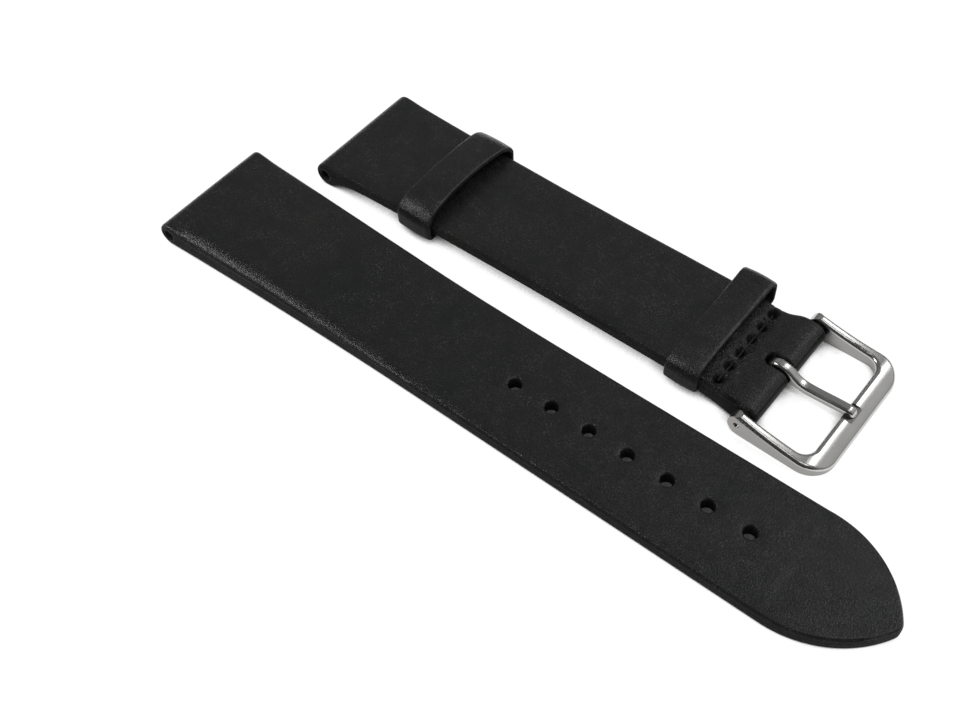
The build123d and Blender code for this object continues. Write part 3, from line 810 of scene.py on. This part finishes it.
def shortHalf(x):
    s = short
    if x < s["waistStart"]:
        return taperHalf(x, s["half"], s["lugHalf"], s["taperEnd"])
    if x < s["waist"]:
        t = sCurve((x - s["waistStart"]) / (s["waist"] - s["waistStart"]))
        return s["half"] + (s["waistHalf"] - s["half"]) * t
    t = sCurve((x - s["waist"]) / (s["tabStart"] - s["waist"]))
    return s["waistHalf"] + (s["tabHalf"] - s["waistHalf"]) * t


def nearHalf(x):
    # the near edge hardly draws in at the waist
    s = short
    if x < s["waistStart"]:
        return shortHalf(x)
    return s["half"] + s["nearTab"] * sCurve((x - s["waist"]) / (s["tabStart"] - s["waist"]))


def shortTop(x):
    s = short
    if x < s["roll"]:
        return s["roll"] + rollHeight(x, s["roll"], s["roll"])
    if x > s["bar"]:
        return s["roll"] + rollHeight(x, s["bar"], s["roll"])
    return s["thick"]


def shortUnder(x):
    s = short
    if x < s["roll"]:
        return s["roll"] - rollHeight(x, s["roll"], s["roll"])
    if x > s["bar"]:
        return s["roll"] - rollHeight(x, s["bar"], s["roll"])
    if x < s["neckEnd"]:
        return s["flapUnder"] * sCurve((x - s["neckStart"]) / (s["neckEnd"] - s["neckStart"]))
    if x <= s["flapEnd"]:
        t = (x - s["neckEnd"]) / (s["flapEnd"] - s["neckEnd"])
        return s["flapUnder"] + s["neckRise"] * (1 - (1 - t) ** 3)
    if x < s["buckleFlap"]:
        return s["thick"] - s["thin"] + s["lining"] + 0.02
    t = (x - s["buckleFlap"]) / (s["bar"] - s["buckleFlap"])
    return s["flapUnder"] * (1 - t) ** s["flapPower"]


def stitchYs():
    return [(i - short["stitches"] / 2) * short["stitchPitch"] for i in range(short["stitches"] + 1)]


def shortSink(x, y, d):
    s = short
    half = shortHalf(x)
    cushion = s["cushion"] * sCurve((x - s["roll"]) / s["cushionRise"])
    cushion *= sCurve((s["bar"] - 1 - x) / s["cushionFall"])
    drop = s["crown"] * (abs(y) / half) ** 4 + cushion * max(0.0, 1 - d / s["cushionReach"]) ** 2
    drop += uneven(x, y, s["wave"], s["waveSize"], 9.0) + uneven(x, y, s["ripple"], s["rippleSize"], 2.0)
    drop += (s["valley"] * bell(x - s["stitchX"] - s["valleyPast"], s["valleyWidth"])
             * (1 - min(1.0, abs(y) / half) ** 6))
    away = abs(x - s["stitchX"])
    if away < 5:
        # the leather is drawn down along the row and crinkles round it
        inRow = bell(max(0.0, abs(y) - s["rowHalf"]), 0.5)
        drop += s["groove"] * bell(away, s["grooveWidth"]) * inRow
        for sy in stitchYs():
            r = math.hypot(away, y - sy)
            if r < 2:
                drop += s["dimple"] * bell(r, s["dimpleWidth"])
        fold = noise.noise(Vector((x * 0.5, y * 1.1, 3.0))) + 0.8 * noise.noise(
            Vector((x * 1.3 + 5, y * 2.2, 7.0))) + 0.5 * noise.noise(Vector((x * 3, y * 3.6, 1.0)))
        lean = 1.0 - 0.4 * y / half
        drop += s["crinkle"] * fold * bell(away, s["crinkleReach"]) * lean
    if x > s["slotEnd"] - 2:
        # rounded lips along the tongue's slot
        endX = s["slotEnd"] + s["slotHalf"]
        out = abs(y) - s["slotHalf"] if x > endX else math.hypot(x - endX, y) - s["slotHalf"]
        drop += edgeDrop(max(out, 0.0), s["slotRim"])
    return drop


def shortCreasesAndPaintedShade(x, y):
    # most crease round the stitches, some by the keeper and on the roll, which also brings painted glints
    # there; below zero on the flat between the stitches and the roll, which paints shade there
    s = short
    row = bell(x - s["stitchX"], 1.5)
    front = bell(x - s["buckleFlap"] - 0.3, 0.4)
    roll = bell(x - s["bar"], 1.1)
    # painted shade on the flat between the stitches and the roll
    plain = bell(x - s["paintedShadeX"], s["paintedShadeWidth"])
    return min(1.0, 0.8 * row * (1.0 - 0.25 * y / s["half"]) + 0.9 * front + 0.25 * roll - 0.8 * plain)


def shortRibs(start, end, flat):
    s = short
    xs = []
    if not flat:
        xs += [s["roll"] * (1 - math.cos(k * math.pi / 20)) for k in range(10)]
        xs += spaced(s["roll"], s["flapEnd"] - 0.01, s["step"]) + [s["flapEnd"] - 0.01]
        start, end = s["flapEnd"] + 0.01, s["buckleFlap"] - 0.01
    xs += spaced(start, s["longTo"], s["longStep"])
    xs += spaced(s["longTo"], end, s["step"]) + [end]
    if not flat:
        xs += spaced(s["buckleFlap"] + 0.01, s["rowTo"], s["rowStep"])
        xs += spaced(s["rowTo"], s["bar"], s["rollStep"])
        xs += [s["bar"] + s["roll"] * math.sin(k * math.pi / 24) for k in range(13)]
    return [(x, shortHalf(x), 0.0, -1.0, x, nearHalf(x) / shortHalf(x)) for x in xs]


def shortFade(x):
    return rollFade(x, 0.0, short["length"], short["roll"])


def shortUnderRound(x):
    if short["flapEnd"] < x < short["buckleFlap"]:
        return 0.0
    return short["shoulder"] + (short["underRound"] - short["shoulder"]) * shortFade(x)


shortShape = {
    "name": "shortCoverLeather", "x": shortX, "y": shortY, "polished": shortX,
    "top": shortTop, "under": shortUnder,
    "roundTop": lambda x: short["shoulder"],
    "roundUnder": shortUnderRound, "fade": shortFade,
    "creased": shortCreasesAndPaintedShade, "sink": shortSink, "wallRows": 4, "wallBulge": 0.02, "flatEnds": (),
    "onProfile": lambda x, z, drop, way: rolledPoint(
        x, z, drop, way, [(short["roll"], -1), (short["bar"], 1)], short["roll"]),
}
shortCover = addPiece("shortCoverLeather",
                      strapMesh(shortShape, shortRibs(0, 0, False), strapGrid["shortMiddle"]),
                      "strap", ["short_cover", "short_filler"],
                      [coverLeather, rawShadedEdge, paintedEdge, sideLeather])


def slotOutline():
    # round at its inner end, and open past the roll
    s = short
    cx, outer = shortX + s["slotEnd"] + s["slotHalf"], shortX + s["slotOpen"]
    inner = [(x, y) for x, y in ring(cx, shortY, s["slotHalf"], 32) if x < cx + 1e-6]
    inner.sort(key=lambda p: p[1])
    return inner + [(outer, shortY + s["slotHalf"]), (outer, shortY - s["slotHalf"])]


cutAway(shortCover, [tunnelCut(shortX + short["roll"], short["roll"], shortY),
                     tunnelCut(shortX + short["bar"], short["roll"], shortY)])
cutAway(shortCover, [(slotOutline(), cuts["low"], cuts["high"], "z")])
smooth(shortCover)

shortLiningShape = dict(
    shortShape, name="shortLiningLeather",
    top=lambda x: short["liningTop"], under=lambda x: short["liningUnder"],
    roundTop=lambda x: 0.04, roundUnder=lambda x: 0.4, flatEnds=(0, -1), wallRows=1,
    sink=lambda x, y, d: 0.0, onProfile=lambda x, z, drop, way: (x, z - drop * way))
shortLining = addPiece(
    "shortLiningLeather",
    strapMesh(shortLiningShape, shortRibs(short["flapEnd"] + 0.03, short["buckleFlap"] - 0.03, True),
              strapGrid["coarseMiddle"]),
    "strap", ["short_lining"], [liningLeather, rawShadedEdge, paintedEdge, liningLeather])
smooth(shortLining)
print("buckle half ready")


# tapes in the tunnels

tape = {"inner": 0.95, "outer": 1.13, "steps": 60, "waves": 0.01, "tunnelHalf": 9.88,
        "barHalf": 9.18, "barGapHalf": 1.07}


def tapeTube(name, x, z, spans, body, replaced):
    # one closed tube for each span along y
    verts, faces = [], []
    for y0, y1 in spans:
        ys = spaced(y0, y1, 0.5) + [y1]
        first = len(verts)
        for y in ys:
            for radius in (tape["outer"], tape["inner"]):
                for k in range(tape["steps"]):
                    a = 2 * math.pi * k / tape["steps"]
                    r = radius + tape["waves"] * noise.noise(Vector((a * 2, y, 0)))
                    verts.append(Vector((x + r * math.cos(a), y, z + r * math.sin(a))) * mm)
        n = tape["steps"]
        for i in range(len(ys) - 1):
            for shell in (0, 1):
                base = first + (2 * i + shell) * n
                for k in range(n):
                    j = (k + 1) % n
                    faces.append((base + k, base + j, base + 2 * n + j, base + 2 * n + k))
        for i in (0, len(ys) - 1):
            base = first + 2 * i * n
            for k in range(n):
                j = (k + 1) % n
                faces.append((base + k, base + j, base + n + j, base + n + k))
    mesh = bpy.data.meshes.new(name)
    mesh.from_pydata(verts, [], faces)
    tidyMesh(mesh, 1e-7)
    smooth(addPiece(name, mesh, body, replaced, [wovenTape]))


tapeTube("tailTunnelTape", tailX + tail["roll"], tail["roll"],
         [(tailY - tape["tunnelHalf"], tailY + tape["tunnelHalf"])], "tail", ["tail_tunnel_tape"])
tapeTube("shortTunnelTape", shortX + short["roll"], short["roll"],
         [(shortY - tape["tunnelHalf"], shortY + tape["tunnelHalf"])], "strap", ["short_tunnel_tape"])
tapeTube("barLoopTape", shortX + short["bar"], short["roll"],
         [(shortY - tape["barHalf"], shortY - tape["barGapHalf"]),
          (shortY + tape["barGapHalf"], shortY + tape["barHalf"])], "strap", ["bar_loop_tape"])
print("tapes ready")


# stitches

stitch = {"radius": 0.19, "rise": 3.2, "deep": 2.5, "underRise": 0.78, "underDeep": 2.1,
          "steps": 30, "twist": 0.42, "lobes": 3, "gap": 0.02, "stretch": 0.45, "flat": 0.3}


def stitchRow(name, level, deep, replaced):
    # each stitch is an arch that dives into the leather at both ends
    verts, faces = [], []
    ys = stitchYs()
    for y0, y1 in zip(ys[:-1], ys[1:]):
        path = []
        reach = (y1 - y0) / 2 - stitch["gap"]
        for i in range(stitch["steps"] + 1):
            a = math.pi * i / stitch["steps"]
            c, s = math.cos(a), math.sin(a)
            y = (y0 + y1) / 2 - reach * math.copysign(abs(c) ** stitch["stretch"], c)
            z = deep + (level - deep) * s ** stitch["flat"]
            path.append((shortX + short["stitchX"], shortY + y, z))
        v, f = sweep(path, stitch["radius"], stitch["twist"], stitch["lobes"])
        faces += [tuple(i + len(verts) for i in face) for face in f]
        verts += v
    mesh = bpy.data.meshes.new(name)
    mesh.from_pydata(verts, [], faces)
    tidyMesh(mesh, 1e-7)
    smooth(addPiece(name, mesh, "strap", replaced, [waxedThread], 70))


stitchRow("needleStitches", stitch["rise"] - stitch["radius"], stitch["deep"], ["needle_thread"])
stitchRow("bobbinStitches", stitch["underRise"], stitch["underDeep"], ["bobbin_thread"])
print("stitches ready")


# keepers

freeKeeper = {
    "name": "freeKeeper", "place": 16.9, "length": 6.1, "half": 9.606, "low": 1.35, "high": 5.6,
    "lowCorner": 0.4, "highCorner": 2.1, "liningWall": 0.3, "bandWall": 0.45, "dome": 0.16,
    "rim": 0.26, "bow": 0.75, "pull": 0.5, "nearIn": 0.05, "farOut": 0.0, "farUp": 0.0,
    "rubHighlightWidth": 0.5, "body": "free_keeper",
    "bandNode": "free_keeper_band", "liningNode": "free_keeper_lining", "seed": 11.0,
}
fixedKeeper = {
    "name": "fixedKeeper", "place": 63.8, "length": 5.1, "half": 9.1, "low": 1.65, "high": 4.7,
    "lowCorner": 0.2, "highCorner": 1.3, "liningWall": 0.3, "bandWall": 0.45, "dome": 0.14,
    "rim": 0.24, "bow": 0.2, "pull": 0.15, "nearIn": 0.1, "farOut": 1.15, "farUp": 1.15,
    "rubHighlightWidth": 1.1, "body": "strap",
    "bandNode": "fixed_keeper_band", "liningNode": "fixed_keeper_lining", "seed": 23.0,
}


keeperGrid = {"across": 14, "corner": 12, "along": 0.35, "innerRim": 0.08,
              "wave": 0.03, "waveSize": 2.5, "ripple": 0.012, "rippleSize": 0.8,
              "shoulderIn": 1.2, "shoulderWidth": 1.3, "shoulderLow": 2.5, "mostCreased": 0.35,
              "rimCreased": 0.2, "rimWidth": 1.2}


def ringPath(k, wall):
    # the keeper's inner path in y and z, with outward normals, drawn out by wall
    half, low, high = k["half"] + wall, k["low"] - wall, k["high"] + wall
    lowR, highR = k["lowCorner"] + wall, k["highCorner"] + wall
    corners = [(half - lowR, low + lowR, lowR, -90), (half - highR, high - highR, highR, 0),
               (-half + highR, high - highR, highR, 90), (-half + lowR, low + lowR, lowR, 180)]
    points = []
    for i, (cy, cz, r, start) in enumerate(corners):
        for step in range(keeperGrid["corner"] + 1):
            a = math.radians(start + 90 * step / keeperGrid["corner"])
            points.append((cy + r * math.cos(a), cz + r * math.sin(a), math.cos(a), math.sin(a)))
        ny, nz, nr = corners[(i + 1) % 4][:3]
        a = math.radians(start + 90)
        last = points[-1]
        target = (ny + nr * math.cos(a), nz + nr * math.sin(a))
        length = math.hypot(target[0] - last[0], target[1] - last[1])
        count = max(2, round(length / keeperGrid["along"]))
        for step in range(1, count):
            t = step / count
            points.append((last[0] + (target[0] - last[0]) * t, last[1] + (target[1] - last[1]) * t,
                           math.cos(a), math.sin(a)))
    bowed = []
    for y, z, ny, nz in points:
        # the top sinks towards its two shoulders, and the sides sit unevenly round the strap
        lift = max(0.0, (z - (low + high) / 2) / ((high - low) / 2))
        z -= lift * k["bow"] * abs(y / half) ** 2.4
        z += lift * k["farUp"] * max(0.0, y / half) ** 2
        y += k["nearIn"] * max(0.0, -y / half) ** 2 + k["farOut"] * max(0.0, y / half) ** 2
        bowed.append((y, z, ny, nz))
    return bowed


def keeperMesh(k, name, inner, outer, dome, rim):
    # a band round the path: inner and outer offsets, its outside domed, its rims rounded
    g, length, count = keeperGrid, k["length"], keeperGrid["across"]
    section = []
    for i in range(count + 1):
        x = length * (0.5 - 0.5 * math.cos(math.pi * i / count))
        edge = min(x, length - x)
        section.append((x, outer - edgeDrop(edge, rim) - dome + dome * 4 * x * (length - x) / length ** 2))
    for i in range(count, -1, -1):
        x = length * i / count
        edge = min(x, length - x)
        section.append((x, inner + edgeDrop(edge, g["innerRim"])))
    path = ringPath(k, 0.0)
    verts, wearAndHighlight, creased = [], [], []
    for y, z, ny, nz in path:
        for x, out in section:
            wave = (uneven(x + k["seed"], y, g["wave"], g["waveSize"], z * 0.3)
                    + uneven(x, y, g["ripple"], g["rippleSize"], z + k["seed"]))
            if out > (inner + outer) / 2:
                out += wave
            pull = k["pull"] * max(0.0, nz) * (1 - (y / k["half"]) ** 2) * x / length
            verts.append(Vector((shortX + k["place"] + x - pull, shortY + y + ny * out,
                                 z + nz * out)) * mm)
            # lighter on the top of the front rim: rubbed leather and a painted highlight line
            wearAndHighlight.append(max(0.0, 1 - (length - x) / k["rubHighlightWidth"]) * max(0.0, nz) ** 0.5)
            shoulder = 0.0
            if y < 0:
                shoulder = bell(abs(y) - k["half"] + g["shoulderIn"], g["shoulderWidth"])
                shoulder *= max(0.0, z - g["shoulderLow"])
            # crease mark on the near shoulder and the front rim: bump and painted glints
            creased.append(min(g["mostCreased"], shoulder)
                           + g["rimCreased"] * max(0.0, 1 - (length - x) / g["rimWidth"]))
    n, m = len(path), len(section)
    faces = [(i * m + j, ((i + 1) % n) * m + j, ((i + 1) % n) * m + (j + 1) % m, i * m + (j + 1) % m)
             for i in range(n) for j in range(m)]
    mesh = bpy.data.meshes.new(name)
    mesh.from_pydata(verts, [], faces)
    addMarks(mesh, wearAndHighlight, creased)
    tidyMesh(mesh)
    dullSteepFaces(mesh, 1, farAway)
    return mesh


for k in (freeKeeper, fixedKeeper):
    bandName, liningName, wall = k["name"] + "Band", k["name"] + "Lining", k["liningWall"]
    band = keeperMesh(k, bandName, wall, wall + k["bandWall"], k["dome"], k["rim"])
    smooth(addPiece(bandName, band, k["body"], [k["bandNode"]],
                    [keeperLeather, sideLeather], 50))
    inside = keeperMesh(k, liningName, 0.0, wall - 0.02, 0.0, 0.06)
    smooth(addPiece(liningName, inside, k["body"], [k["liningNode"]],
                    [liningLeather, liningLeather], 50))
print("keepers ready")


# metal, in its CAD shapes

for name in ("buckle_frame", "buckle_tongue", "bar_tube", "near_bar_pin", "far_bar_pin", "bar_spring"):
    part = nodes[name]
    part.data.materials.clear()
    part.data.materials.append(polishedSteel if name.startswith("buckle") else barSteel)
print("metal ready")


# floor, light and camera

def whiteSeen(tree, plain, seen):
    # camera, mirror and glass rays take the seen shader, the rest the plain one
    w = Wires(tree)
    path = w.node("ShaderNodeLightPath")
    either = w.math("MAXIMUM", path.outputs["Is Camera Ray"], path.outputs["Is Glossy Ray"])
    either = w.math("MAXIMUM", either, path.outputs["Is Transmission Ray"])
    mix = w.node("ShaderNodeMixShader")
    w.link(either, mix.inputs[0])
    w.link(plain, mix.inputs[1])
    w.link(seen, mix.inputs[2])
    return mix.outputs[0]


floorLook = {"size": 3.0, "steps": 8, "below": 0.00002, "colour": (0.82, 0.82, 0.82), "glow": 0.90,
             "lit": (0.16, 0.16, 0.16), "shade": 0.0035, "closed": 0.30, "open": 0.50}


def addFloor(look):
    half, steps = look["size"] / 2, look["steps"]
    mesh = bpy.data.meshes.new("floor")
    verts = [(-half + 2 * half * i / steps, -half + 2 * half * j / steps, -look["below"])
             for i in range(steps + 1) for j in range(steps + 1)]
    n = steps + 1
    faces = [(i * n + j, (i + 1) * n + j, (i + 1) * n + j + 1, i * n + j + 1)
             for i in range(steps) for j in range(steps)]
    mesh.from_pydata(verts, [], faces)
    floor = bpy.data.objects.new("floor", mesh)
    bpy.context.scene.collection.objects.link(floor)
    material = bpy.data.materials.new("palePaper")
    material.use_nodes = True
    tree = material.node_tree
    w = Wires(tree)
    tree.nodes.remove(tree.nodes["Principled BSDF"])
    out = tree.nodes["Material Output"]
    plain = w.node("ShaderNodeBsdfDiffuse", at_0=(*look["colour"], 1))
    lit = w.node("ShaderNodeBsdfDiffuse", at_0=(*look["lit"], 1))
    glow = w.node("ShaderNodeEmission")
    # painted shadow: the floor's glow dims where ambient occlusion finds it closed in, in holes and under
    # edges
    closed = w.node("ShaderNodeAmbientOcclusion", samples=8)
    closed.inputs["Distance"].default_value = look["shade"]
    clear = w.span(closed.outputs["AO"], look["closed"], look["open"])  # dark in holes and under edges
    w.link(w.math("MULTIPLY", clear, look["glow"]), glow.inputs["Strength"])
    both = w.node("ShaderNodeAddShader")
    w.link(lit.outputs[0], both.inputs[0])
    w.link(glow.outputs[0], both.inputs[1])
    w.link(whiteSeen(tree, plain.outputs[0], both.outputs[0]), out.inputs["Surface"])
    mesh.materials.append(material)


addFloor(floorLook)

# what the leather and the steel mirror: level by height, then shares from left to right and near to far
sky = {"plain": 0.85, "levels": [(0.12, 0.10), (0.28, 0.45), (0.6, 0.56), (0.8, 0.42)],
       "left": 0.48, "right": 1.0, "leftAt": -0.03, "rightAt": 0.35,
       "near": 0.12, "far": 1.0, "nearAt": -0.25, "farAt": 0.5}


def addWorld(look):
    world = bpy.data.worlds.new("studio")
    bpy.context.scene.world = world
    world.use_nodes = True
    tree = world.node_tree
    w = Wires(tree)
    out = tree.nodes["World Output"]
    tree.nodes.remove(tree.nodes["Background"])
    place = w.node("ShaderNodeTexCoord").outputs["Generated"]
    parts = w.node("ShaderNodeSeparateXYZ")
    w.link(place, parts.inputs[0])
    ramp = w.node("ShaderNodeValToRGB")
    stops = ramp.color_ramp.elements
    stops[0].color = (look["levels"][0][1],) * 3 + (1,)
    stops[1].color = (look["levels"][-1][1],) * 3 + (1,)
    for height, level in look["levels"]:
        stops.new(height).color = (level, level, level, 1)
    w.link(parts.outputs[2], ramp.inputs[0])
    room = w.node("ShaderNodeBackground")
    w.link(ramp.outputs[0], room.inputs["Color"])
    across = w.span(parts.outputs[0], look["leftAt"], look["rightAt"], look["left"], look["right"])
    along = w.span(parts.outputs[1], look["nearAt"], look["farAt"], look["near"], look["far"])
    w.link(w.math("MULTIPLY", across, along), room.inputs["Strength"])
    plain = w.node("ShaderNodeBackground", at_0=(1, 1, 1, 1), at_1=look["plain"])
    white = w.node("ShaderNodeBackground", at_0=(1, 1, 1, 1))
    path = w.node("ShaderNodeLightPath")
    shiny = w.node("ShaderNodeMixShader")
    w.link(w.math("MAXIMUM", path.outputs["Is Glossy Ray"], path.outputs["Is Transmission Ray"]),
           shiny.inputs[0])
    w.link(plain.outputs[0], shiny.inputs[1])
    w.link(room.outputs[0], shiny.inputs[2])
    final = w.node("ShaderNodeMixShader")
    w.link(path.outputs["Is Camera Ray"], final.inputs[0])
    w.link(shiny.outputs[0], final.inputs[1])
    w.link(white.outputs[0], final.inputs[2])
    w.link(final.outputs[0], out.inputs["Surface"])


addWorld(sky)

lamps = {
    "nearSoftbox": {"from": (-0.60, -0.50, 0.62), "away": 0.75, "size": 0.19, "power": 1.5},
    "overBar": {"from": (0.25, 0.57, 0.78), "away": 0.8, "size": 0.18, "power": 0.36},
    "overArms": {"from": (0.24, -0.08, 0.96), "away": 0.8, "size": 0.30, "power": 0.45},
}


def addLamps(lamps):
    # square lamps that all face the middle of the part
    for name, lamp in lamps.items():
        data = bpy.data.lights.new(name, "AREA")
        data.shape = "SQUARE"
        data.size = lamp["size"]
        data.energy = lamp["power"]
        made = bpy.data.objects.new(name, data)
        way = Vector(lamp["from"]).normalized()
        made.location = way * lamp["away"]
        made.rotation_euler = way.to_track_quat("Z", "Y").to_euler()
        bpy.context.scene.collection.objects.link(made)


addLamps(lamps)

view = {"place": (0.063785, -0.089353, 0.140175), "turn": (36.8255, 1.983, 39.0412), "lens": 47.6486}


def addCamera(view):
    data = bpy.data.cameras.new("camera")
    data.lens = view["lens"]
    data.sensor_fit = "HORIZONTAL"
    data.sensor_width = 36.0
    data.clip_start = 0.005
    camera = bpy.data.objects.new("camera", data)
    camera.location = view["place"]
    camera.rotation_euler = Euler([math.radians(a) for a in view["turn"]], "XYZ")
    bpy.context.scene.collection.objects.link(camera)
    bpy.context.scene.camera = camera


addCamera(view)
bpy.context.scene.view_settings.view_transform = "Standard"
print("floor, light and camera ready")

bpy.context.view_layer.update()
